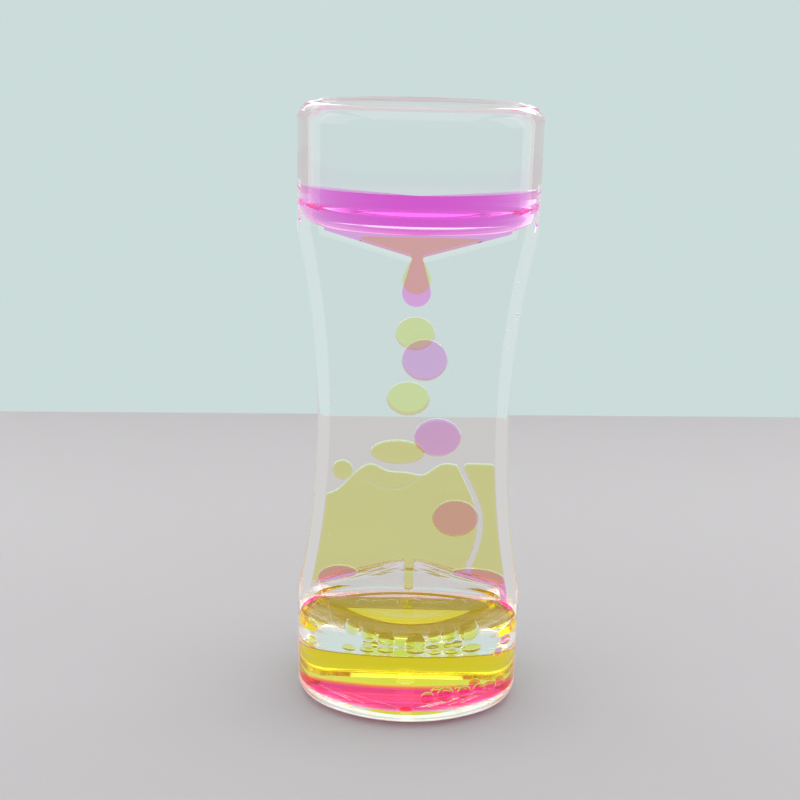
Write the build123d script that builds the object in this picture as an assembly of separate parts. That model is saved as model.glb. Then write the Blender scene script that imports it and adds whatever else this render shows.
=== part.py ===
from build123d import *
from math import atan2, degrees, dist, sqrt
import os

# Body: an oval reservoir at each end and a flat hourglass waist between them.
# The base stands on z = 0, the front faces -Y, and both ends are alike.
width = 52.0
depth = 38.0
height = 138.0
front_arc_radius = 34.0
waist_width = 42.6
waist_thickness = 9.0
shelf_height = 25.7
end_fillet = 4.0
shelf_fillet = 5.0
waist_edge_fillet = 1.2

# Walls
cup_wall = 2.7
floor_wall = 2.8
shelf_wall = 2.7
side_wall = 2.6
inner_fillet = 1.6

# Divider on the mid-plane, and the flat channel on each side of it,
# which reaches into the reservoirs past their inner fillets
plate_thickness = 1.2
channel_depth = 2.0
mouth_reach = 1.0

# Ribs of the drip funnels, with heights measured from the nearer end
rib_thickness = 1.2
nozzle_gap = 2.4
rib_apex = 32.8
rib_foot = 27.4
lip_end = 25.0
return_duct = 1.8

# Filling holes and their plugs
plug_diameter = 3.0
plug_setback = 3.4
plug_clearance = 0.03

# Liquids. A film of oil keeps every liquid off the walls, a wider one where a drop moves.
film = 0.05
drop_film = 0.2
drop_edge = 0.6
bead_gap = 0.1
upper_pool_depth = 5.8
pink_base_depth = 1.7
yellow_base_depth = 8.6
hanging_width = 6.2
pink_hanging_length = 10.4
yellow_hanging_length = 8.2
remainder_width = 29.0
remainder_place = 1.4
remainder_depth = 4.4
remainder_corner = 2.0

# Falling discs: their share of the fall between the nozzles, sideways place, width and height
pink_upper_share = 0.690
pink_middle_share = 0.442
pink_lower_share = 0.172
yellow_upper_share = 0.765
yellow_lower_share = 0.557
pink_drops = {
    "pink_drop_upper": (pink_upper_share, 2.2, 10.2, 9.5),
    "pink_drop_middle": (pink_middle_share, 5.6, 10.7, 9.0),
    "pink_drop_lower": (pink_lower_share, 10.3, 10.7, 9.0),
}
yellow_drops = {
    "yellow_drop_upper": (yellow_upper_share, 0.0, 8.8, 7.6),
    "yellow_drop_lower": (yellow_lower_share, -1.2, 9.7, 7.9),
}

# Pink pools on the lower ribs: distance in from the side wall, half width, half height,
# and the centre's height above the rib foot
left_pool = (6.9, 5.2, 3.3, 2.2)
right_pool = (8.3, 8.0, 3.2, 2.2)
tail_bead_diameter = 2.8

# Yellow pool at the waist: its level as a share of the fall,
# and its edges as places across and distances below that level
waist_pool_share = 0.348
pool_edge = [
    (-15.1, 5.2),
    (-11.9, 1.8),
    (-9.4, 0.6),
    (-5.4, 2.2),
    (-1.1, 2.5),
    (2.6, 3.0),
    (5.3, 1.2),
    (9.6, 0.4),
]
sliver_route = [
    (10.8, 0.0),
    (13.1, 4.8),
    (15.0, 9.1),
    (16.1, 13.1),
    (16.1, 17.1),
    (15.4, 21.2),
    (13.9, 25.2),
]
oil_sliver = 1.2
side_lobe = (-15.8, 2.2, 2.4)
landed_drop = (-3.3, 6.2, 2.9, 2.4)
nozzle_run = 6.0

# Beads: radius, then for the pink ones the distance in from the side and front walls of the reservoir,
# for the sinking ones the distances in from the side wall, off the divider and above the pool,
# and for the yellow ones the sideways place and the distance off the divider
pink_beads = [
    (1.5, 18.7, 0.6),
    (1.9, 14.8, 0.5),
    (1.7, 10.7, 0.5),
    (1.6, 7.4, 0.6),
    (1.5, 5.1, 0.9),
    (1.3, 12.0, 4.6),
    (1.6, 9.1, 5.2),
    (1.4, 16.9, 4.4),
    (1.3, 3.6, 3.0),
]
sinking_beads = [(1.3, 1.4, 0.7, 10.0), (1.1, 0.6, 4.5, 8.6)]
yellow_beads = [
    (1.5, -10.8, 0.7),
    (1.5, -7.4, 0.5),
    (1.7, -3.9, 0.5),
    (2.0, 1.6, 0.4),
    (1.3, 5.2, 0.4),
    (1.5, 8.2, 0.4),
    (2.1, 12.0, 0.8),
    (1.9, -6.2, 3.9),
    (2.7, -0.9, 4.7),
    (1.5, 4.4, 4.7),
    (2.0, 8.2, 4.2),
    (1.3, -4.8, 8.0),
    (2.1, 5.6, 8.1),
]

# Sizes that follow from the ones above
half_width = width / 2
half_depth = depth / 2
middle = height / 2
half_plate = plate_thickness / 2
ceiling = shelf_height - shelf_wall
waist_run = middle - shelf_height
waist_sag = half_width - waist_width / 2
waist_radius = (waist_run**2 + waist_sag**2) / (2 * waist_sag)
fall = height - 2 * rib_apex
pool_level = rib_apex + waist_pool_share * fall
end_wall = half_width - cup_wall
mouth = inner_fillet + mouth_reach


def side_arc(inset):
    """Radius of the reservoir oval's side arcs, moved in by inset, and where across they begin."""
    a = half_width - inset
    b = half_depth - inset
    front = front_arc_radius - inset
    side = (2 * front * b - a**2 - b**2) / (2 * (front - a))
    return side, (a - side) * front / (front - side)


def oval(inset):
    """Four-arc oval of the reservoirs, moved in by inset."""
    a = half_width - inset
    b = half_depth - inset
    x = side_arc(inset)[1]
    y = oval_front(inset, x)
    arcs = [
        ThreePointArc((-x, -y), (0, -b), (x, -y)),
        ThreePointArc((x, -y), (a, 0), (x, y)),
        ThreePointArc((x, y), (0, b), (-x, y)),
        ThreePointArc((-x, y), (-a, 0), (-x, -y)),
    ]
    return make_face(arcs)


def oval_front(inset, x):
    """Distance of that oval's front edge from the mid-plane, at a place across."""
    side, joint = side_arc(inset)
    if abs(x) <= joint:
        front = front_arc_radius - inset
        return sqrt(front**2 - x**2) - (front_arc_radius - half_depth)
    return sqrt(side**2 - (abs(x) - (half_width - inset - side)) ** 2)


def oval_side(inset, y):
    """Half width of that oval at a distance from the mid-plane."""
    side, joint = side_arc(inset)
    if y <= oval_front(inset, joint):
        return half_width - inset - side + sqrt(side**2 - y**2)
    return sqrt((front_arc_radius - inset) ** 2 - (y + front_arc_radius - half_depth) ** 2)


def waist_x(inset, z):
    """Half width of the hourglass at a height, moved in by inset."""
    return waist_width / 2 + waist_radius - sqrt((waist_radius + inset) ** 2 - (z - middle) ** 2)


def hourglass(inset, low):
    """Front view of the waist, moved in by inset, from a height to the same distance below the top."""
    high = height - low
    ends = waist_x(inset, low)
    waist = waist_width / 2 - inset
    outline = [
        Line((-ends, low), (ends, low)),
        ThreePointArc((ends, low), (waist, middle), (ends, high)),
        Line((ends, high), (-ends, high)),
        ThreePointArc((-ends, high), (-waist, middle), (-ends, low)),
    ]
    return make_face(outline)


def flip(shape):
    """The same shape at the other end."""
    return mirror(shape, about=Plane.XY.offset(middle))


def flip_view(outline):
    """The same front-view outline at the other end."""
    return mirror(outline, about=Plane.XZ.offset(-middle))


def to_rear(shape):
    """The same shape behind the divider."""
    return mirror(shape, about=Plane.XZ)


def in_front(shape, gap):
    """What lies in front of the divider by at least a gap."""
    return split(shape, bisect_by=Plane.XZ.offset(half_plate + gap), keep=Keep.TOP)


def below(shape, level):
    """What lies below a height."""
    return split(shape, bisect_by=Plane.XY.offset(level), keep=Keep.BOTTOM)


def slab(outline, gap):
    """Front-view outline made as thick as the front channel, less a gap at each face."""
    return extrude(Plane.XZ.offset(half_plate + gap) * outline, channel_depth - 2 * gap)


def bar(start, end, thickness):
    """Round-ended bar of the front view between two points."""
    angle = degrees(atan2(end[1] - start[1], end[0] - start[0]))
    centre = ((start[0] + end[0]) / 2, (start[1] + end[1]) / 2)
    return Pos(*centre) * SlotCenterToCenter(dist(start, end), thickness, rotation=angle)


def rib_points():
    """Centre line of the lower funnel's right-hand rib: nozzle end, foot and end of the lip."""
    off_wall = side_wall + return_duct + rib_thickness / 2
    nozzle_end = (nozzle_gap / 2 + rib_thickness / 2, rib_apex)
    return nozzle_end, (waist_x(off_wall, rib_foot), rib_foot), (waist_x(off_wall, lip_end), lip_end)


def ribs(gap):
    """Front view of the lower funnel's two ribs, grown by a gap."""
    nozzle_end, foot, lip = rib_points()
    thickness = rib_thickness + 2 * gap
    right = bar(nozzle_end, foot, thickness) + bar(foot, lip, thickness)
    return right + mirror(right, about=Plane.YZ)


def funnel():
    """Front view of the space between the lower ribs and the reservoir, from lip to lip."""
    nozzle_end, foot, lip = rib_points()
    right = [nozzle_end, foot, lip, (lip[0], ceiling - mouth)]
    left = [(-x, z) for x, z in reversed(right)]
    return make_face(Polyline(*right, *left, close=True))


def above_ribs(high):
    """Front view of the space over the lower ribs, up to a height and past the side walls."""
    nozzle_end, foot = rib_points()[:2]
    right = [nozzle_end, foot, (half_width, foot[1]), (half_width, high)]
    left = [(-x, z) for x, z in reversed(right)]
    return make_face(Polyline(*right, *left, close=True))


def hanging_drop(length):
    """Front view of a drop that hangs from the upper nozzle."""
    nozzle = height - rib_apex
    radius = hanging_width / 2
    ball = Pos(0, nozzle - length + radius) * Circle(radius)
    neck = Line((-nozzle_gap / 2, nozzle), (nozzle_gap / 2, nozzle))
    return make_hull([*ball.edges(), neck])


def outer_body():
    """Outside of the whole body, before it is cut into its pieces."""
    cup = extrude(oval(0), shelf_height)
    cup = fillet(cup.edges().group_by(Axis.Z)[0], end_fillet)
    cup = fillet(cup.edges().group_by(Axis.Z)[-1], shelf_fillet)
    waist = extrude(Plane.XZ * hourglass(0, shelf_height - shelf_fillet), waist_thickness / 2, both=True)
    waist = fillet(waist.edges().filter_by(GeomType.CIRCLE), waist_edge_fillet)
    waist = waist & extrude(oval(0), height)
    return cup + flip(cup) + waist


def reservoir(gap):
    """Inside of the lower front reservoir, kept off its walls by a gap."""
    room = extrude(Pos(0, 0, floor_wall + gap) * oval(cup_wall + gap), ceiling - floor_wall - 2 * gap)
    room = fillet(room.edges().group_by(Axis.Z)[0], inner_fillet)
    room = fillet(room.edges().group_by(Axis.Z)[-1], inner_fillet)
    return in_front(room, gap)


def channel(gap):
    """Inside of the flat front channel round its ribs, kept off every wall by a gap."""
    lower_ribs = ribs(gap)
    outline = hourglass(side_wall + gap, ceiling - mouth) - lower_ribs - flip_view(lower_ribs)
    return slab(outline, gap) & extrude(oval(cup_wall + gap), height)


def front_room(gap):
    """The whole inside of the front shell."""
    end = reservoir(gap)
    return channel(gap) + end + flip(end)


def plug_place():
    """Axis of the front filling hole."""
    return Pos(0, plug_setback + cup_wall - half_depth, floor_wall / 2)


def disc_view(share, place, wide, tall, gap):
    """Front view of a falling drop, grown by a gap."""
    return Pos(place, rib_apex + share * fall) * Ellipse(wide / 2 + gap, tall / 2 + gap)


def disc(size):
    """Flat falling drop in the front channel, with rounded edges."""
    drop = slab(disc_view(*size, 0), drop_film)
    return fillet(drop.edges(), drop_edge)


def bead(radius, place, off_plate, level):
    """Bead of liquid in the lower front reservoir, clear of the divider, with its foot at a height."""
    return Pos(place, -half_plate - off_plate - radius, level + radius) * Sphere(radius)


def wall_bead(radius, from_side, from_front, level):
    """Bead of liquid placed by its distances in from the reservoir's side and front walls."""
    place = end_wall - from_side
    off_plate = oval_front(cup_wall, place) - half_plate - from_front - 2 * radius
    return bead(radius, place, off_plate, level)


def side_bead(radius, from_side, off_plate, level):
    """Bead of liquid placed by its distances in from the reservoir's side wall and off the divider."""
    place = oval_side(cup_wall, half_plate + off_plate + 2 * radius) - from_side - radius
    return bead(radius, place, off_plate, level)


def resting(side, from_wall, half_wide, half_tall, rise):
    """Front view of a pool on the lower rib of the left (-1) or right (1) side."""
    place = side * (waist_x(side_wall, rib_foot) - from_wall)
    outline = Pos(place, rib_foot + rise) * Ellipse(half_wide, half_tall)
    return outline & above_ribs(middle)


def duct_run(top):
    """Front view of the liquid that fills the right-hand return duct and beads at its lower end."""
    foot, lip = rib_points()[1:]
    inner = [(foot[0], top), foot, lip, (lip[0], ceiling)]
    outer = [(half_width, ceiling), (half_width, top)]
    run = make_face(Polyline(*inner, *outer, close=True))
    end = Pos(waist_x(side_wall + return_duct / 2, ceiling), ceiling) * Circle(tail_bead_diameter / 2)
    return run + end


def pool_outline(*edges, corners):
    """Front view of a pool between curved edges and straight runs through corners."""
    lines = [Spline(*edge) for edge in edges]
    lines += [Line(edges[i][-1], edges[i + 1][0]) for i in range(len(edges) - 1)]
    lines += [Polyline(edges[-1][-1], *corners, edges[0][0])]
    return make_face(lines) & above_ribs(height)


def oil_round(room, fixed, drops):
    """Oil of one chamber, shaped in the front: its room less the liquids, with more off each drop."""
    oil = room
    for piece in fixed:
        oil -= piece
    for size in drops.values():
        oil -= slab(disc_view(*size, drop_film), 0)
    return oil


# Clear plastic pieces
body = outer_body()
hole = plug_place() * Cylinder(plug_diameter / 2, floor_wall)
front_shell = in_front(body, 0) - front_room(0) - hole
divider_plate = body - in_front(body, 0) - to_rear(in_front(body, 0))
fill_plug = plug_place() * Cylinder(plug_diameter / 2 - plug_clearance, floor_wall)

# Pink liquid, in the front chamber
room = front_room(film)
flat_room = channel(film)
lower_end = reservoir(film)
upper_end = flip(lower_end)
upper_level = height - ceiling + upper_pool_depth
pink_level = floor_wall + pink_base_depth
pink_upper_pool = flat_room & slab(flip_view(funnel()) + hanging_drop(pink_hanging_length), film)
pink_upper_pool += below(upper_end, upper_level)
pink_left_pool = flat_room & slab(resting(-1, *left_pool), film)
pink_right_pool = room & slab(resting(1, *right_pool) + duct_run(rib_foot + right_pool[-1]), film)
pink_base_pool = below(lower_end, pink_level)
pink_base_beads = Compound([wall_bead(*each, pink_level + bead_gap) for each in pink_beads])
pink_sinking_beads = Compound([side_bead(*each, pink_level + rise) for *each, rise in sinking_beads])

# Yellow liquid, shaped in the front chamber and moved behind the divider below
yellow_level = floor_wall + yellow_base_depth
remainder_top = height - rib_apex + remainder_depth
remainder = Pos(remainder_place, remainder_top - remainder_width / 2) * RectangleRounded(
    remainder_width, remainder_width, remainder_corner
)
yellow_upper_pool = flat_room & slab(
    (flip_view(funnel()) & remainder) + hanging_drop(yellow_hanging_length), film
)
sliver = [(x, pool_level - drop) for x, drop in sliver_route]
left_bank = [(x - oil_sliver / 2, z) for x, z in sliver]
right_bank = [(x + oil_sliver / 2, z) for x, z in sliver]
top_edge = [(-half_width, pool_level - pool_edge[0][1])] + [(x, pool_level - drop) for x, drop in pool_edge]
drain = bar((0, rib_apex + rib_thickness), (0, rib_apex - nozzle_run), nozzle_gap - 2 * film)
main_foot = [(left_bank[-1][0], ceiling), (-half_width, ceiling)]
side_foot = [(right_bank[-1][0], ceiling), (half_width, ceiling), (half_width, pool_level)]
main_outline = pool_outline(top_edge, left_bank, corners=main_foot)
side_outline = pool_outline(right_bank, corners=side_foot)
lobe_place, lobe_drop, lobe_radius = side_lobe
drop_place, drop_half_width, drop_half_height, drop_rise = landed_drop
yellow_waist_pool = flat_room & slab(main_outline + drain, film)
yellow_side_pool = flat_room & slab(side_outline, film)
yellow_lobe = slab(Pos(lobe_place, pool_level - lobe_drop) * Circle(lobe_radius), film)
landed_outline = Pos(drop_place, pool_level + drop_rise) * Ellipse(drop_half_width, drop_half_height)
yellow_landed_drop = slab(landed_outline, film)
yellow_base_pool = below(lower_end, yellow_level)
yellow_base_beads = Compound([bead(*each, yellow_level + bead_gap) for each in yellow_beads])

# Clear oil fills what the dyed liquids leave, with room round each falling drop
pink_fixed = [pink_upper_pool, pink_left_pool, pink_right_pool, pink_base_pool]
pink_fixed += [pink_sinking_beads, pink_base_beads]
yellow_fixed = [yellow_upper_pool, yellow_waist_pool, yellow_side_pool, yellow_lobe]
yellow_fixed += [yellow_landed_drop, yellow_base_pool, yellow_base_beads]

# Every piece, those behind the divider shaped in front of it
front_pieces = {
    "front_shell": front_shell,
    "divider_plate": divider_plate,
    "front_fill_plug": fill_plug,
    "front_clear_oil": oil_round(room, pink_fixed, pink_drops),
    "pink_upper_pool": pink_upper_pool,
    "pink_left_pool": pink_left_pool,
    "pink_right_pool": pink_right_pool,
    "pink_sinking_beads": pink_sinking_beads,
    "pink_base_pool": pink_base_pool,
    "pink_base_beads": pink_base_beads,
}
front_pieces.update({name: disc(size) for name, size in pink_drops.items()})
rear_pieces = {
    "rear_shell": front_shell,
    "rear_fill_plug": fill_plug,
    "rear_clear_oil": oil_round(room, yellow_fixed, yellow_drops),
    "yellow_upper_pool": yellow_upper_pool,
    "yellow_waist_pool": yellow_waist_pool,
    "yellow_side_pool": yellow_side_pool,
    "yellow_lobe": yellow_lobe,
    "yellow_landed_drop": yellow_landed_drop,
    "yellow_base_pool": yellow_base_pool,
    "yellow_base_beads": yellow_base_beads,
}
rear_pieces.update({name: disc(size) for name, size in yellow_drops.items()})

os.makedirs("parts", exist_ok=True)
for name, piece in front_pieces.items():
    export_step(piece, f"parts/{name}.step")
for name, piece in rear_pieces.items():
    export_step(to_rear(piece), f"parts/{name}.step")
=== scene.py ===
from math import acos, cos, pi, radians, sin, sqrt

import bmesh
import bpy
from mathutils import Matrix, Vector


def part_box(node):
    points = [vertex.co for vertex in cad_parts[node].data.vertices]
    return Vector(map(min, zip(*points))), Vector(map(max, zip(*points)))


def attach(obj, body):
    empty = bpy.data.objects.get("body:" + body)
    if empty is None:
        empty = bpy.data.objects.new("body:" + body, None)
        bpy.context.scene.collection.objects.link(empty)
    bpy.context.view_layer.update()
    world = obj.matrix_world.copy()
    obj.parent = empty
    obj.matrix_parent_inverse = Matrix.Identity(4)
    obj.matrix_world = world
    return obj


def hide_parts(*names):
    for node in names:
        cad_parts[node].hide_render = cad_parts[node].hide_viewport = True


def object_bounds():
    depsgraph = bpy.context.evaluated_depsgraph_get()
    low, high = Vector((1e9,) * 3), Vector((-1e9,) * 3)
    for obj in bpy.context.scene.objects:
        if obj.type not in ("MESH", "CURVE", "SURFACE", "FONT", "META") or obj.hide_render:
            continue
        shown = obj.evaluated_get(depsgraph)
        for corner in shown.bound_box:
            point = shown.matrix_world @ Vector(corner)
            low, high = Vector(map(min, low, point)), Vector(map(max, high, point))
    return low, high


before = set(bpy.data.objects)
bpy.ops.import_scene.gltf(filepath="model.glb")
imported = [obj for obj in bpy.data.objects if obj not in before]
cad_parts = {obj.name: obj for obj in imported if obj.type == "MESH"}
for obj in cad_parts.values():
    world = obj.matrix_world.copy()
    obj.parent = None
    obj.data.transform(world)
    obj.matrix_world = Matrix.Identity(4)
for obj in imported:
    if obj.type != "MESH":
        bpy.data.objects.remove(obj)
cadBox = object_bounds()
scene = bpy.context.scene
mm = 0.001
mergeGap = 1e-7  # points nearer than this are one
looseGap = 1e-6  # loose CAD triangles meet within this
sameLevel = 1e-6  # points this close to a plane lie on it
print("frame loaded:", len(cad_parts), "nodes")


# Shader maths as plain expressions
class Wire:
    def __init__(self, tree, socket):
        self.tree = tree
        self.socket = socket

    def node(self, kind, settings=None, **inputs):
        made = self.tree.nodes.new(kind)
        for name, value in (settings or {}).items():
            if name == "stops":
                ramp = made.color_ramp.elements
                while len(ramp) < len(value):
                    ramp.new(0.5)
                for element, (place, colour) in zip(ramp, value):
                    element.position = place
                    element.color = colour
            else:
                setattr(made, name, value)
        for name, value in inputs.items():
            numbered = name[0] == "i" and name[1:].isdigit()
            target = made.inputs[int(name[1:]) if numbered else name.replace("_", " ")]
            if isinstance(value, Wire):
                self.tree.links.new(value.socket, target)
            else:
                target.default_value = value
        return made

    def out(self, kind, settings=None, socket=0, **inputs):
        return Wire(self.tree, self.node(kind, settings, **inputs).outputs[socket])

    def sums(self, operation, first, second):
        return self.out("ShaderNodeMath", {"operation": operation}, i0=first, i1=second)

    def __add__(self, other):
        return self.sums("ADD", self, other)

    def __mul__(self, other):
        return self.sums("MULTIPLY", self, other)

    def __sub__(self, other):
        return self.sums("SUBTRACT", self, other)

    def __rsub__(self, other):
        return self.sums("SUBTRACT", other, self)

    __radd__ = __add__
    __rmul__ = __mul__


def newMaterial(name):
    made = bpy.data.materials.new(name)
    made.use_nodes = True
    made.node_tree.nodes.clear()
    return made, Wire(made.node_tree, None)


def finishMaterial(start, shader, volume=None):
    output = start.node("ShaderNodeOutputMaterial")
    start.tree.links.new(shader.outputs[0], output.inputs["Surface"])
    if volume:
        start.tree.links.new(volume.outputs[0], output.inputs["Volume"])


# Clear plastic: smooth with faint moulding waves and a little haze from handling; the cement line and the
# plugs also carry a painted cream glow, painted light that stands in for light caught in them
plasticLook = {
    "tint": (0.996, 0.997, 0.996, 1),
    "waveSize": 60.0,
    "hazeSize": 180.0,
    "haze": 0.012,
    "paintedGlowColour": (1.0, 0.95, 0.88, 1),
}
# Each finish bends light by what lies on the other side of its face: air, oil or cement
clearFinishes = {
    "outer": {"name": "clear plastic", "ior": 1.49, "waves": 0.02},
    "wet": {"name": "clear plastic against oil", "ior": 1.01},
    "cemented": {"name": "cemented plastic face", "ior": 1.0},
    # painted light: the cement line and the plug glow faintly cream, though no lamp is in them
    "cementLine": {"name": "cement line", "ior": 1.0, "veil": 0.03},
    "plug": {"name": "plug plastic", "ior": 1.06, "veil": 0.05},
}
airFinish = {"name": "trapped air", "ior": 1 / 1.48}


def clearPlastic(name, ior, waves=0.0, veil=0.0):
    made, start = newMaterial(name)
    place = start.out("ShaderNodeTexCoord", socket="Object")
    wave = start.out("ShaderNodeTexNoise", i0=place, Scale=plasticLook["waveSize"], Detail=1.0)
    haze = start.out("ShaderNodeTexNoise", i0=place, Scale=plasticLook["hazeSize"], Detail=3.0)
    bump = start.out("ShaderNodeBump", Strength=waves, Distance=mm, Height=wave)
    shader = start.node("ShaderNodeBsdfPrincipled", Roughness=haze * plasticLook["haze"], Normal=bump)
    shader.inputs["Base Color"].default_value = plasticLook["tint"]
    shader.inputs["IOR"].default_value = ior
    shader.inputs["Transmission Weight"].default_value = 1.0
    # painted light: a faint cream glow on the cement line and the plugs
    shader.inputs["Emission Color"].default_value = plasticLook["paintedGlowColour"]
    shader.inputs["Emission Strength"].default_value = veil
    finishMaterial(start, shader)
    return made


plastics = [clearPlastic(**finish) for finish in clearFinishes.values()]
finishIndex = {name: index for index, name in enumerate(clearFinishes)}

# Dyed liquids: thin layers pale, deep ones strong, with slow streaks of uneven dye; the top pink pool and
# the base pools also glow, painted light that stands in for light coming through the base
liquidLook = {
    "pink": {"dye": (0.99, 0.0, 0.93), "density": 330.0, "ior": 0.9},
    "pinkPool": {
        "dye": (0.995, 0.0, 0.90),
        "density": 135.0,
        "ior": 1.01,
        "glow": (1.0, 0.10, 0.70),
        "paintedGlowStrength": 0.03,
    },
    "pinkBase": {
        "dye": (0.995, 0.0, 0.50),
        "density": 600.0,
        "ior": 1.01,
        "glow": (1.0, 0.0, 0.25),
        "paintedGlowStrength": 0.10,
    },
    "yellow": {"dye": (0.97, 0.985, 0.0), "density": 420.0, "ior": 0.9},
    "yellowPool": {"dye": (0.97, 0.985, 0.0), "density": 400.0, "ior": 0.97},
    "yellowBase": {
        "dye": (0.995, 0.975, 0.0),
        "density": 330.0,
        "ior": 0.88,
        "glow": (1.0, 0.85, 0.0),
        "paintedGlowStrength": 0.03,
    },
}
streakLook = {"size": 70.0, "depth": 0.05, "hazeSize": 210.0, "haze": 0.02}


def dyedLiquid(name, layerAndShadeTint=None):
    look = liquidLook[name]
    made, start = newMaterial(name + " liquid")
    place = start.out("ShaderNodeTexCoord", socket="Object")
    streak = start.out("ShaderNodeTexNoise", i0=place, Scale=streakLook["size"], Detail=2.0)
    pale = 1 - streakLook["depth"]
    stops = [(0.0, (1, 1, 1, 1)), (1.0, (pale, pale, pale, 1))]
    # a layer tint, or painted shade for the yellow base pool, by height
    if layerAndShadeTint:
        height = start.out("ShaderNodeSeparateXYZ", socket="Z", i0=place)
        streak = (height - layerAndShadeTint["edge"]) * (layerAndShadeTint["rise"] / mm)
        stops = [(0.0, (1, 1, 1, 1)), (1.0, layerAndShadeTint["colour"])]
    tint = start.out("ShaderNodeValToRGB", {"stops": stops}, Fac=streak)
    rough = streakLook["haze"] * start.out("ShaderNodeTexNoise", i0=place, Scale=streakLook["hazeSize"])
    shader = start.node("ShaderNodeBsdfPrincipled", Base_Color=tint, Roughness=rough)
    shader.inputs["IOR"].default_value = look["ior"]
    shader.inputs["Transmission Weight"].default_value = 1.0
    # painted light: the top pink pool and the base pools glow though no lamp is in them
    shader.inputs["Emission Color"].default_value = (*look.get("glow", (0, 0, 0)), 1)
    shader.inputs["Emission Strength"].default_value = look.get("paintedGlowStrength", 0.0)
    volume = start.node("ShaderNodeVolumeAbsorption", Density=look["density"])
    volume.inputs["Color"].default_value = (*look["dye"], 1)
    finishMaterial(start, shader, volume)
    return made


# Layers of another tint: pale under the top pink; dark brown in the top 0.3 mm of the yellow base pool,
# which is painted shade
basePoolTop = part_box("yellow_base_pool")[1][2]
layerAndShadeTints = {
    "pinkPool": {"edge": 115.0 * mm, "rise": -1.0, "colour": (0.99, 0.65, 0.97, 1)},
    # painted shade: the top of the yellow base pool turns dark brown
    "yellowBase": {"edge": basePoolTop - 0.3 * mm, "rise": 10.0, "colour": (0.34, 0.22, 0.08, 1)},
}
liquids = {name: dyedLiquid(name, layerAndShadeTints.get(name)) for name in liquidLook}

# Clear oil: not seen itself, because every face in it is set against oil
oilLook = {"cloudSize": 40.0, "haze": 0.1}


def clearOil():
    made, start = newMaterial("clear oil")
    place = start.out("ShaderNodeTexCoord", socket="Object")
    cloud = start.out("ShaderNodeTexNoise", i0=place, Scale=oilLook["cloudSize"], Detail=2.0)
    shader = start.node("ShaderNodeBsdfPrincipled", Roughness=oilLook["haze"] + cloud * oilLook["haze"])
    shader.inputs["Alpha"].default_value = 0.0
    finishMaterial(start, shader)
    return made


oilMaterial = clearOil()
airMaterial = clearPlastic(**airFinish)
for node in ("front_clear_oil", "rear_clear_oil"):
    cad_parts[node].data.materials.clear()
    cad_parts[node].data.materials.append(oilMaterial)
print("materials ready")


# Mesh helpers
def objectFrom(bm, name):
    mesh = bpy.data.meshes.new(name)
    bm.to_mesh(mesh)
    bm.free()
    made = bpy.data.objects.new(name, mesh)
    scene.collection.objects.link(made)
    return made


def bmeshOf(item):
    bm = bmesh.new()
    bm.from_mesh(item.data)
    return bm


def pointsOf(geometry):
    return [item for item in geometry if isinstance(item, bmesh.types.BMVert)]


def drawArcs(bm, start, arcs, axis):
    tip = bm.verts.new(start)
    for centre, angle, steps in arcs:
        swept = bmesh.ops.spin(bm, geom=[tip], cent=centre, axis=axis, angle=angle, steps=steps)
        tip = pointsOf(swept["geom_last"])[0]


def fillOutline(bm):
    bmesh.ops.remove_doubles(bm, verts=bm.verts, dist=mergeGap)
    return bmesh.ops.contextual_create(bm, geom=bm.edges[:])["faces"]


def raiseFaces(bm, faces, along):
    grown = bmesh.ops.extrude_face_region(bm, geom=faces)["geom"]
    bmesh.ops.translate(bm, vec=along, verts=pointsOf(grown))
    bmesh.ops.recalc_face_normals(bm, faces=bm.faces)


def roundEdges(bm, edges, radius, segments):
    bmesh.ops.bevel(
        bm,
        geom=edges,
        offset=radius,
        segments=segments,
        profile=0.5,
        affect="EDGES",
        material=-1,
        clamp_overlap=False,
    )


def edgesAt(bm, axis, place):
    return [e for e in bm.edges if all(abs(v.co[axis] - place) < sameLevel for v in e.verts)]


def combine(item, other, how):
    step = item.modifiers.new(how, "BOOLEAN")
    step.operation = how
    step.solver = "EXACT"
    step.object = other
    bpy.context.view_layer.update()
    made = bpy.data.meshes.new_from_object(item.evaluated_get(bpy.context.evaluated_depsgraph_get()))
    item.modifiers.clear()
    item.data = made
    bpy.data.objects.remove(other)
    return item


# Closes the hairline gaps that a cut can leave
def mergeSlivers(item):
    bm = bmeshOf(item)
    bmesh.ops.remove_doubles(bm, verts=bm.verts, dist=looseGap)
    bmesh.ops.dissolve_degenerate(bm, dist=looseGap, edges=bm.edges)
    bm.to_mesh(item.data)
    bm.free()


def smoothShade(item, angle=35):
    item.data.shade_smooth()
    item.data.set_sharp_from_angle(angle=radians(angle))
    step = item.modifiers.new("even normals", "WEIGHTED_NORMAL")
    step.keep_sharp = True


# Body sizes, in metres
body = {
    "width": cadBox[1][0] - cadBox[0][0],
    "depth": cadBox[1][1] - cadBox[0][1],
    "height": cadBox[1][2] - cadBox[0][2],
    "frontArc": 34.0 * mm,
    "waistWidth": 42.6 * mm,
    "waistThickness": 9.0 * mm,
    "shelf": 25.7 * mm,
    "endFillet": 4.0 * mm,
    "shelfFillet": 5.0 * mm,
    "waistFillet": 1.2 * mm,
    "cupWall": 2.7 * mm,
    "floorWall": 2.8 * mm,
    "shelfWall": 2.7 * mm,
    "sideWall": 2.6 * mm,
    "innerFillet": 1.6 * mm,
    "plate": 1.2 * mm,
    "channel": 2.0 * mm,
    "bond": 0.006 * mm,
    "past": 1.0 * mm,  # how far a cutter runs past the face it cuts
    "frontSteps": 48,
    "sideSteps": 40,
    "waistSteps": 72,
    "filletSteps": 10,
    "waistFilletSteps": 6,
}
halfWidth = body["width"] / 2
halfDepth = body["depth"] / 2
middle = body["height"] / 2
halfPlate = body["plate"] / 2
ceiling = body["shelf"] - body["shelfWall"]
waistSag = halfWidth - body["waistWidth"] / 2
waistRadius = ((middle - body["shelf"]) ** 2 + waistSag**2) / (2 * waistSag)


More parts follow.
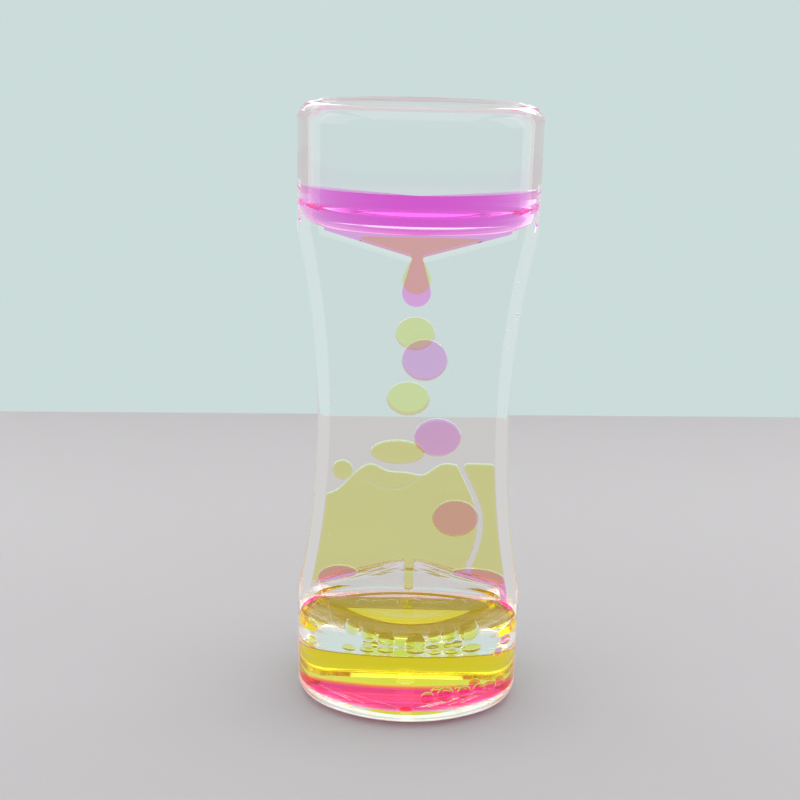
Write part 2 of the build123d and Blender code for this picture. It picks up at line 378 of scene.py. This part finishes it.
def drawOval(bm, inset, z):
    a, b, front = halfWidth - inset, halfDepth - inset, body["frontArc"] - inset
    side = (2 * front * b - a * a - b * b) / (2 * (front - a))
    x = (a - side) * front / (front - side)
    y = sqrt(front * front - x * x) - (front - b)
    frontAngle = 2 * acos((front - b + y) / front)
    sideAngle = pi - frontAngle
    arcs = [
        ((0, front - b, z), frontAngle, body["frontSteps"]),
        ((a - side, 0, z), sideAngle, body["sideSteps"]),
        ((0, b - front, z), frontAngle, body["frontSteps"]),
        ((side - a, 0, z), sideAngle, body["sideSteps"]),
    ]
    drawArcs(bm, (-x, -y, z), arcs, (0, 0, 1))


def waistX(inset, z):
    return body["waistWidth"] / 2 + waistRadius - sqrt((waistRadius + inset) ** 2 - (z - middle) ** 2)


def drawHourglass(bm, inset, low, y):
    ends = waistX(inset, low)
    centre = body["waistWidth"] / 2 + waistRadius
    turn = 2 * acos((centre - ends) / (waistRadius + inset))
    for side in (1, -1):
        arc = ((side * centre, y, middle), side * turn, body["waistSteps"])
        drawArcs(bm, (side * ends, y, low), [arc], (0, 1, 0))
    bmesh.ops.remove_doubles(bm, verts=bm.verts, dist=mergeGap)
    for z in (low, body["height"] - low):
        level = [v for v in bm.verts if abs(v.co.z - z) < sameLevel]
        bm.edges.new(level)


def upsideDown(bm):
    bmesh.ops.scale(bm, vec=(1, 1, -1), verts=bm.verts)
    bmesh.ops.translate(bm, vec=(0, 0, body["height"]), verts=bm.verts)
    bmesh.ops.recalc_face_normals(bm, faces=bm.faces)


def ovalTub(inset, low, high, lowFillet, highFillet, name, flip=False):
    bm = bmesh.new()
    drawOval(bm, inset, low)
    raiseFaces(bm, fillOutline(bm), (0, 0, high - low))
    if lowFillet:
        roundEdges(bm, edgesAt(bm, 2, low), lowFillet, body["filletSteps"])
    if highFillet:
        roundEdges(bm, edgesAt(bm, 2, high), highFillet, body["filletSteps"])
    if flip:
        upsideDown(bm)
    return objectFrom(bm, name)


def waistBlock():
    bm = bmesh.new()
    thickness = body["waistThickness"]
    drawHourglass(bm, 0, body["shelf"] - body["shelfFillet"], -thickness / 2)
    raiseFaces(bm, fillOutline(bm), (0, thickness, 0))
    sides = [e for y in (-thickness / 2, thickness / 2) for e in edgesAt(bm, 1, y)]
    sides = [e for e in sides if abs(e.verts[0].co.z - e.verts[1].co.z) > sameLevel]
    roundEdges(bm, sides, body["waistFillet"], body["waistFilletSteps"])
    return objectFrom(bm, "waist")


def outerBody():
    waist = waistBlock()
    column = ovalTub(0, 0, body["height"], 0, 0, "column")
    combine(waist, column, "INTERSECT")
    whole = ovalTub(0, 0, body["shelf"], body["endFillet"], body["shelfFillet"], "body")
    upper = ovalTub(0, 0, body["shelf"], body["endFillet"], body["shelfFillet"], "upper", flip=True)
    combine(whole, waist, "UNION")
    return combine(whole, upper, "UNION")


def sliceOff(bm, y, keepFront):
    cut = bmesh.ops.bisect_plane(
        bm,
        geom=bm.verts[:] + bm.edges[:] + bm.faces[:],
        dist=mergeGap,
        plane_co=(0, y, 0),
        plane_no=(0, 1, 0),
        clear_outer=keepFront,
        clear_inner=not keepFront,
    )
    edges = [item for item in cut["geom_cut"] if isinstance(item, bmesh.types.BMEdge)]
    bmesh.ops.contextual_create(bm, geom=edges)


# Drip ribs, with heights from the nearer end
rib = {
    "thickness": 1.2 * mm,
    "nozzle": 2.4 * mm,
    "apex": 32.8 * mm,
    "foot": 27.4 * mm,
    "lip": 25.0 * mm,
    "duct": 1.8 * mm,
    "mouth": 2.6 * mm,
    "endSteps": 16,
}
ribInset = body["sideWall"] + rib["duct"] + rib["thickness"] / 2
ribLine = [
    (rib["nozzle"] / 2 + rib["thickness"] / 2, rib["apex"]),
    (waistX(ribInset, rib["foot"]), rib["foot"]),
    (waistX(ribInset, rib["lip"]), rib["lip"]),
]


def bar(start, end, near, far):
    bm = bmesh.new()
    along = Vector((end[0] - start[0], 0, end[1] - start[1]))
    side = Vector((-along.z, 0, along.x)).normalized() * rib["thickness"] / 2
    first = Vector((start[0], near, start[1]))
    last = Vector((end[0], near, end[1]))
    drawArcs(bm, first + side, [(first, -pi, rib["endSteps"])], (0, 1, 0))
    drawArcs(bm, last - side, [(last, -pi, rib["endSteps"])], (0, 1, 0))
    bmesh.ops.remove_doubles(bm, verts=bm.verts, dist=mergeGap)
    ends = [v for v in bm.verts if len(v.link_edges) == 1]
    for one in ends[:2]:
        other = min(ends[2:], key=lambda v: abs((v.co - one.co).length - along.length))
        bm.edges.new((one, other))
    raiseFaces(bm, fillOutline(bm), (0, far - near, 0))
    return objectFrom(bm, "rib")


def ribPair(flip):
    pair = None
    near = -halfPlate - body["channel"] - body["past"]
    for side in (1, -1):
        points = [(side * x, body["height"] - z if flip else z) for x, z in ribLine]
        for start, end in zip(points, points[1:]):
            piece = bar(start, end, near, 2 * body["past"])
            pair = combine(pair, piece, "UNION") if pair else piece
    return pair


def channelSlab():
    bm = bmesh.new()
    near = -halfPlate - body["channel"]
    drawHourglass(bm, body["sideWall"], ceiling - rib["mouth"], near)
    raiseFaces(bm, fillOutline(bm), (0, body["past"] - near, 0))
    return objectFrom(bm, "slab")


def frontChamber():
    chamber = channelSlab()
    for flip in (False, True):
        combine(chamber, ribPair(flip), "DIFFERENCE")
    column = ovalTub(body["cupWall"], 0, body["height"], 0, 0, "column")
    combine(chamber, column, "INTERSECT")
    inner = body["innerFillet"]
    for flip in (False, True):
        end = ovalTub(body["cupWall"], body["floorWall"], ceiling, inner, inner, "end", flip)
        combine(chamber, end, "UNION")
    return chamber


def shellMaterials(item):
    for material in plastics:
        item.data.materials.append(material)


whole = outerBody()
print("body skin:", len(whole.data.polygons), "faces")


def cutPiece(name, front, back):
    bm = bmeshOf(whole)
    if back is not None:
        sliceOff(bm, back, True)
    if front is not None:
        sliceOff(bm, front, False)
    bmesh.ops.recalc_face_normals(bm, faces=bm.faces)
    return objectFrom(bm, name)


# Filling plugs in the floors
plug = {"gap": 0.03 * mm, "setIn": 0.03 * mm, "edge": 0.12 * mm, "edgeSteps": 3, "sides": 48, "under": -0.3}
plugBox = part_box("front_fill_plug")
plugPlace = (Vector(plugBox[0]) + Vector(plugBox[1])) / 2
plugRadius = (plugBox[1][0] - plugBox[0][0]) / 2


def drum(radius, low, high, edge, name):
    bm = bmesh.new()
    bmesh.ops.create_circle(bm, cap_ends=True, segments=plug["sides"], radius=radius)
    bmesh.ops.translate(bm, vec=(plugPlace.x, plugPlace.y, low), verts=bm.verts)
    raiseFaces(bm, bm.faces[:], (0, 0, high - low))
    if edge:
        roundEdges(bm, edgesAt(bm, 2, low) + edgesAt(bm, 2, high), edge, plug["edgeSteps"])
    return objectFrom(bm, name)


bondFace = -halfPlate - body["bond"]
frontShell = cutPiece("frontShell", None, bondFace)
plate = cutPiece("dividerPlate", -halfPlate, halfPlate)
chamber = frontChamber()
hole = drum(plugRadius + plug["gap"], -body["past"], body["floorWall"] + body["past"], 0, "hole")
combine(chamber, hole, "UNION")
shellMaterials(chamber)
for face in chamber.data.polygons:
    face.material_index = finishIndex["wet"]
shellMaterials(frontShell)
combine(frontShell, chamber, "DIFFERENCE")
mergeSlivers(frontShell)
for face in frontShell.data.polygons:
    if abs(face.center.y - bondFace) < sameLevel:
        face.material_index = finishIndex["cementLine"]
shellMaterials(plate)
mergeSlivers(plate)
for face in plate.data.polygons:
    if abs(abs(face.center.y) - halfPlate) < sameLevel:
        face.material_index = finishIndex["cemented"]
frontPlug = drum(plugRadius, plug["setIn"], body["floorWall"] - plug["setIn"], plug["edge"], "frontPlug")
shellMaterials(frontPlug)
for face in frontPlug.data.polygons:
    face.material_index = finishIndex["outer" if face.normal.z < plug["under"] else "plug"]


def mirrored(item, name):
    bm = bmeshOf(item)
    bmesh.ops.scale(bm, vec=(1, -1, 1), verts=bm.verts)
    bmesh.ops.reverse_faces(bm, faces=bm.faces)
    made = objectFrom(bm, name)
    shellMaterials(made)
    return made


rearShell = mirrored(frontShell, "rearShell")
rearPlug = mirrored(frontPlug, "rearPlug")
bpy.data.objects.remove(whole)
shellPieces = {
    "front_shell": (frontShell, "shell_plastic"),
    "rear_shell": (rearShell, "shell_plastic"),
    "divider_plate": (plate, "plate_plastic"),
    "front_fill_plug": (frontPlug, "plug_plastic"),
    "rear_fill_plug": (rearPlug, "plug_plastic"),
}
for node, (piece, finish) in shellPieces.items():
    smoothShade(piece)
    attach(piece, "timer")
    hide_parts(node)
print("shells:", len(frontShell.data.polygons), "faces each")

# Liquid in the channels, with the rounded edge of a liquid held in oil
flatLook = {
    "step": 0.2 * mm,
    "fewest": 40,
    "scrap": 5,  # a cut with no more points than this isn't an outline
    "passes": 4,
    "tries": 400,
    "tightest": 0.75 * mm,
    "edge": 0.55 * mm,
    "segments": 6,
    "smooth": 50,
}
flatLiquids = {
    "pink_drop_upper": "pink_drop_a",
    "pink_drop_middle": "pink_drop_b",
    "pink_drop_lower": "pink_drop_c",
    "yellow_drop_upper": "yellow_drop_a",
    "yellow_drop_lower": "yellow_drop_b",
    "pink_left_pool": "timer",
    "pink_right_pool": "timer",
    "yellow_landed_drop": "timer",
    "yellow_waist_pool": "timer",
    "yellow_side_pool": "timer",
    "yellow_lobe": "timer",
}


def outlines(node, y):
    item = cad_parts[node]
    bm = bmeshOf(item)
    bm.transform(item.matrix_world)
    bmesh.ops.remove_doubles(bm, verts=bm.verts, dist=looseGap)
    bmesh.ops.bisect_plane(
        bm,
        geom=bm.verts[:] + bm.edges[:] + bm.faces[:],
        dist=mergeGap,
        plane_co=(0, y, 0),
        plane_no=(0, 1, 0),
        clear_outer=True,
        clear_inner=True,
    )
    bmesh.ops.remove_doubles(bm, verts=bm.verts, dist=looseGap)
    left = dict.fromkeys(bm.verts)
    loops = []
    while left:  # follow each cut edge round until it closes
        tip = next(iter(left))
        loop = []
        while tip:
            del left[tip]
            loop.append(tip.co.copy())
            tip = next((e.other_vert(tip) for e in tip.link_edges if e.other_vert(tip) in left), None)
        if len(loop) > flatLook["scrap"]:
            loops.append(loop)
    bm.free()
    return loops


def softened(loop):
    closed = loop + loop[:1]
    runs = [(b - a).length for a, b in zip(closed, closed[1:])]
    count = max(flatLook["fewest"], int(sum(runs) / flatLook["step"]))
    gap = sum(runs) / count
    points, walked, index = [], 0.0, 0
    for step in range(count):
        while index < len(runs) - 1 and walked + runs[index] < step * gap:
            walked += runs[index]
            index += 1
        share = (step * gap - walked) / max(runs[index], mergeGap)
        points.append(closed[index].lerp(closed[index + 1], min(share, 1.0)))
    # Smooth all points a few times, then only the bends that are too tight for the rounded edge
    for turn in range(flatLook["passes"] + flatLook["tries"]):
        trios = list(zip(points[-1:] + points, points, points[1:] + points[:1]))
        tight = [(b - a).angle(c - b, 0) * flatLook["tightest"] > (c - a).length / 2 for a, b, c in trios]
        if turn < flatLook["passes"]:
            tight = [True] * count
        near = [x or y or z for x, y, z in zip(tight[-1:] + tight, tight, tight[1:] + tight[:1])]
        points = [(a + 2 * b + c) / 4 if soft else b for (a, b, c), soft in zip(trios, near)]
    return points


# Thread of oil left round the drop that settled last, placed from the drop above it
thread = {
    "offset": (-1.4 * mm, -1.4 * mm),
    "radius": 7.8 * mm,
    "thick": 0.28 * mm,
    "start": radians(46),
    "turn": radians(-103),
    "sides": 16,
    "steps": 48,
}


def oilThread():
    low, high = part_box("yellow_landed_drop")
    across, up = thread["offset"]
    centre = (Vector(low) + Vector(high)) / 2 + Vector((across, 0, up))
    bm = bmesh.new()
    bmesh.ops.create_circle(bm, segments=thread["sides"], radius=thread["thick"])
    bmesh.ops.rotate(bm, matrix=Matrix.Rotation(pi / 2, 3, "Y"), verts=bm.verts)
    bmesh.ops.translate(bm, vec=centre - Vector((0, 0, thread["radius"])), verts=bm.verts)
    bmesh.ops.rotate(bm, cent=centre, matrix=Matrix.Rotation(thread["start"], 3, "Y"), verts=bm.verts)
    bmesh.ops.spin(
        bm,
        geom=bm.edges[:] + bm.verts[:],
        cent=centre,
        axis=(0, 1, 0),
        angle=thread["turn"],
        steps=thread["steps"],
    )
    bmesh.ops.holes_fill(bm, edges=bm.edges[:])
    bmesh.ops.recalc_face_normals(bm, faces=bm.faces)
    return objectFrom(bm, "thread")


def flatLiquid(node, carrier):
    low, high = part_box(node)
    bm = bmesh.new()
    for loop in outlines(node, (low[1] + high[1]) / 2):
        ring = [bm.verts.new((p.x, low[1], p.z)) for p in softened(loop)]
        edges = [bm.edges.new(pair) for pair in zip(ring, ring[1:] + ring[:1])]
        bmesh.ops.contextual_create(bm, geom=edges)
    raiseFaces(bm, bm.faces[:], (0, high[1] - low[1], 0))
    roundEdges(bm, edgesAt(bm, 1, low[1]) + edgesAt(bm, 1, high[1]), flatLook["edge"], flatLook["segments"])
    words = node.split("_")
    made = objectFrom(bm, words[0] + "".join(word.title() for word in words[1:]))
    if node == "yellow_waist_pool":
        combine(made, oilThread(), "DIFFERENCE")
    made.data.materials.append(liquids[words[0]])
    smoothShade(made, flatLook["smooth"])
    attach(made, carrier)
    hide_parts(node)
    words[0] + "_liquid"


for node, carrier in flatLiquids.items():
    flatLiquid(node, carrier)

# Deep liquid, shown by its own CAD mesh
deepLiquids = {
    "pink_upper_pool": "pinkPool",
    "yellow_upper_pool": "yellowPool",
    "pink_base_pool": "pinkBase",
    "yellow_base_pool": "yellowBase",
    "pink_base_beads": "pink",
    "pink_sinking_beads": "pink",
}
for node, look in deepLiquids.items():
    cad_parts[node].data.materials.clear()
    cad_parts[node].data.materials.append(liquids[look])

# Yellow beads afloat on the base pool, settled a little flat
beadLook = {"flat": 0.55, "rings": 20, "sides": 32}


def floatingBeads(node):
    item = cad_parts[node]
    loose = bmeshOf(item)
    loose.transform(item.matrix_world)
    bmesh.ops.remove_doubles(loose, verts=loose.verts, dist=looseGap)
    left = dict.fromkeys(loose.verts)
    bm = bmesh.new()
    while left:  # one ball at a time
        group, edge = [], [next(iter(left))]
        while edge:
            tip = edge.pop()
            if tip in left:
                del left[tip]
                group.append(tip.co)
                edge.extend(e.other_vert(tip) for e in tip.link_edges)
        low = Vector([min(p[axis] for p in group) for axis in range(3)])
        high = Vector([max(p[axis] for p in group) for axis in range(3)])
        size = (high.x - low.x) / 2
        shape = Matrix.Translation((low + high) / 2 - Vector((0, 0, (1 - beadLook["flat"]) * size)))
        shape = shape @ Matrix.Diagonal((1, 1, beadLook["flat"], 1))
        bmesh.ops.create_uvsphere(
            bm, u_segments=beadLook["sides"], v_segments=beadLook["rings"], radius=size, matrix=shape
        )
    loose.free()
    made = objectFrom(bm, "yellowBaseBeads")
    made.data.materials.append(liquids["yellow"])
    made.data.shade_smooth()
    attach(made, "timer")
    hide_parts(node)


floatingBeads("yellow_base_beads")
print("liquids ready")

# Air caught under the shelf of the lower end
air = {"low": 18.5 * mm, "inset": 0.1 * mm, "edge": 1.0 * mm, "under": 0.05 * mm, "offPlate": 0.1 * mm}


def airPocket():
    wall = body["cupWall"] + air["inset"]
    tub = ovalTub(wall, air["low"], ceiling - air["under"], air["edge"], body["innerFillet"], "tub")
    bm = bmeshOf(tub)
    bpy.data.objects.remove(tub)
    sliceOff(bm, halfPlate + air["offPlate"], False)
    bmesh.ops.recalc_face_normals(bm, faces=bm.faces)
    made = objectFrom(bm, "rearAir")
    made.data.materials.append(airMaterial)
    smoothShade(made)
    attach(made, "timer")


# Bubbles along the cement line: across, height and radius, in millimetres
bubbles = [
    (-18.5, 76.1, 0.16), (-18.5, 74.4, 0.12), (-18.5, 72.6, 0.18), (-18.5, 69.5, 0.16), (-18.5, 65.7, 0.12),
    (-19.7, 46.1, 0.14), (-18.6, 40.2, 0.16), (21.8, 100.5, 0.20), (22.2, 98.5, 0.14), (21.9, 93.6, 0.18),
    (21.6, 92.2, 0.12), (20.0, 89.7, 0.22), (20.0, 88.4, 0.14), (19.7, 86.1, 0.16), (19.0, 82.1, 0.14),
]
bubbleLook = {"behindSeam": 0.4 * mm, "subdivisions": 3}


def seamBubbles():
    bm = bmesh.new()
    y = bondFace - bubbleLook["behindSeam"]
    for x, z, radius in bubbles:
        ball = bmesh.ops.create_icosphere(bm, subdivisions=bubbleLook["subdivisions"], radius=radius * mm)
        bmesh.ops.translate(bm, vec=(x * mm, y, z * mm), verts=ball["verts"])
    made = objectFrom(bm, "seamBubbles")
    made.data.materials.append(airMaterial)
    made.data.shade_smooth()
    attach(made, "timer")


airPocket()
seamBubbles()
print("air ready")

# Camera, from the photograph's view
view = {
    "place": (-3.02 * mm, -261.8 * mm, 155.2 * mm),
    "pitch": radians(17.52),
    "roll": radians(1.35),
    "lens": 54.9,
    "sensor": 36.0,
    "nearest": 0.01,
}


def makeCamera():
    data = bpy.data.cameras.new("camera")
    data.lens = view["lens"]
    data.sensor_width = view["sensor"]
    data.clip_start = view["nearest"]
    made = bpy.data.objects.new("camera", data)
    scene.collection.objects.link(made)
    forward = Vector((0, cos(view["pitch"]), -sin(view["pitch"])))
    up = Vector((0, sin(view["pitch"]), cos(view["pitch"])))
    right = Vector((1, 0, 0))
    lean = view["roll"]
    across = right * cos(lean) + up * sin(lean)
    upright = up * cos(lean) - right * sin(lean)
    turn = Matrix((across, upright, -forward)).transposed().to_4x4()
    made.matrix_world = Matrix.Translation(view["place"]) @ turn
    scene.camera = made


makeCamera()

# Floor and backdrop
stage = {
    "floorColour": (0.60, 0.59, 0.60),
    "floorSeen": (0.60, 0.585, 0.58),
    "backColour": (0.8, 0.8, 0.8),
    "backSeen": (0.597, 0.716, 0.708),
    "backPlace": 211 * mm,
    "backLean": 0.0515,
    "backHeight": 0.2,
    "halfSize": 3.0,
    "gap": 0.15 * mm,
}


def rayKind(start, kind):
    return start.out("ShaderNodeLightPath", socket=kind)


def stageMaterial(name, colour, seenColour, toCamera):
    made, start = newMaterial(name)
    seen = rayKind(start, "Is Glossy Ray") + rayKind(start, "Is Transmission Ray")
    if toCamera:
        seen = seen + rayKind(start, "Is Camera Ray")
    matt = start.node("ShaderNodeBsdfDiffuse")
    matt.inputs["Color"].default_value = (*colour, 1)
    glow = start.node("ShaderNodeEmission")
    glow.inputs["Color"].default_value = (*seenColour, 1)
    mix = start.node("ShaderNodeMixShader", Fac=seen)
    start.tree.links.new(matt.outputs[0], mix.inputs[1])
    start.tree.links.new(glow.outputs[0], mix.inputs[2])
    finishMaterial(start, mix)
    return made


def makeStage():
    bm = bmesh.new()
    far = stage["halfSize"]
    low, back, lean = -stage["gap"], stage["backPlace"], stage["backLean"] * far
    corners = [(-far, -far, low), (far, -far, low), (far, back + lean, low), (-far, back - lean, low)]
    bm.faces.new([bm.verts.new(c) for c in corners])
    backEdge = [e for e in bm.edges if all(v.co.y > 0 for v in e.verts)]
    grown = bmesh.ops.extrude_edge_only(bm, edges=backEdge)["geom"]
    bmesh.ops.translate(bm, vec=(0, 0, stage["backHeight"]), verts=pointsOf(grown))
    bm.normal_update()
    for face in bm.faces:  # the floor lies flat, the backdrop stands
        face.material_index = 0 if abs(face.normal.z) > 0.5 else 1
    made = objectFrom(bm, "stage")
    made.data.materials.append(stageMaterial("floor", stage["floorColour"], stage["floorSeen"], False))
    made.data.materials.append(stageMaterial("backdrop", stage["backColour"], stage["backSeen"], True))


makeStage()

# Soft studio light
lamps = {
    "overhead": {"place": (0.0, -0.3, 0.9), "size": (1.1, 0.8), "power": 2.75},
    "left": {"place": (-0.8, -0.3, 0.5), "size": (0.5, 0.8), "power": 1.0},
    "right": {"place": (0.8, -0.2, 0.5), "size": (0.4, 0.8), "power": 0.9},
    "backLeft": {"place": (-0.42, 0.05, 0.25), "size": (0.25, 0.5), "power": 0.4},
    "backRight": {"place": (0.42, 0.07, 0.25), "size": (0.25, 0.5), "power": 0.4},
    "backTop": {"place": (0.0, 0.18, 0.42), "size": (0.9, 0.25), "power": 0.6},
}
lampAim = Vector((0, 0, 0.07))


def makeLamps():
    for name, lamp in lamps.items():
        data = bpy.data.lights.new(name, "AREA")
        data.shape = "RECTANGLE"
        data.size, data.size_y = lamp["size"]
        data.energy = lamp["power"]
        made = bpy.data.objects.new(name, data)
        scene.collection.objects.link(made)
        made.location = lamp["place"]
        made.rotation_euler = (lampAim - made.location).to_track_quat("-Z", "Y").to_euler()


makeLamps()

# Pale studio all round, brighter where it is seen through or in the plastic
studio = {"light": 0.46, "seen": 0.5}


def makeWorld():
    world = bpy.data.worlds.new("studio")
    world.use_nodes = True
    world.node_tree.nodes.clear()
    start = Wire(world.node_tree, None)
    seen = start.sums("MAXIMUM", rayKind(start, "Is Glossy Ray"), rayKind(start, "Is Transmission Ray"))
    glow = start.out("ShaderNodeBackground", Strength=studio["light"] + seen * studio["seen"])
    start.node("ShaderNodeOutputWorld", Surface=glow)
    scene.world = world


makeWorld()
scene.view_settings.view_transform = "Standard"

# Light crosses many clear faces here
bounces = {
    "max_bounces": 400,
    "transmission_bounces": 300,
    "glossy_bounces": 300,
    "transparent_max_bounces": 64,
}
for name, count in bounces.items():
    setattr(scene.cycles, name, count)
print("stage, light and camera ready")
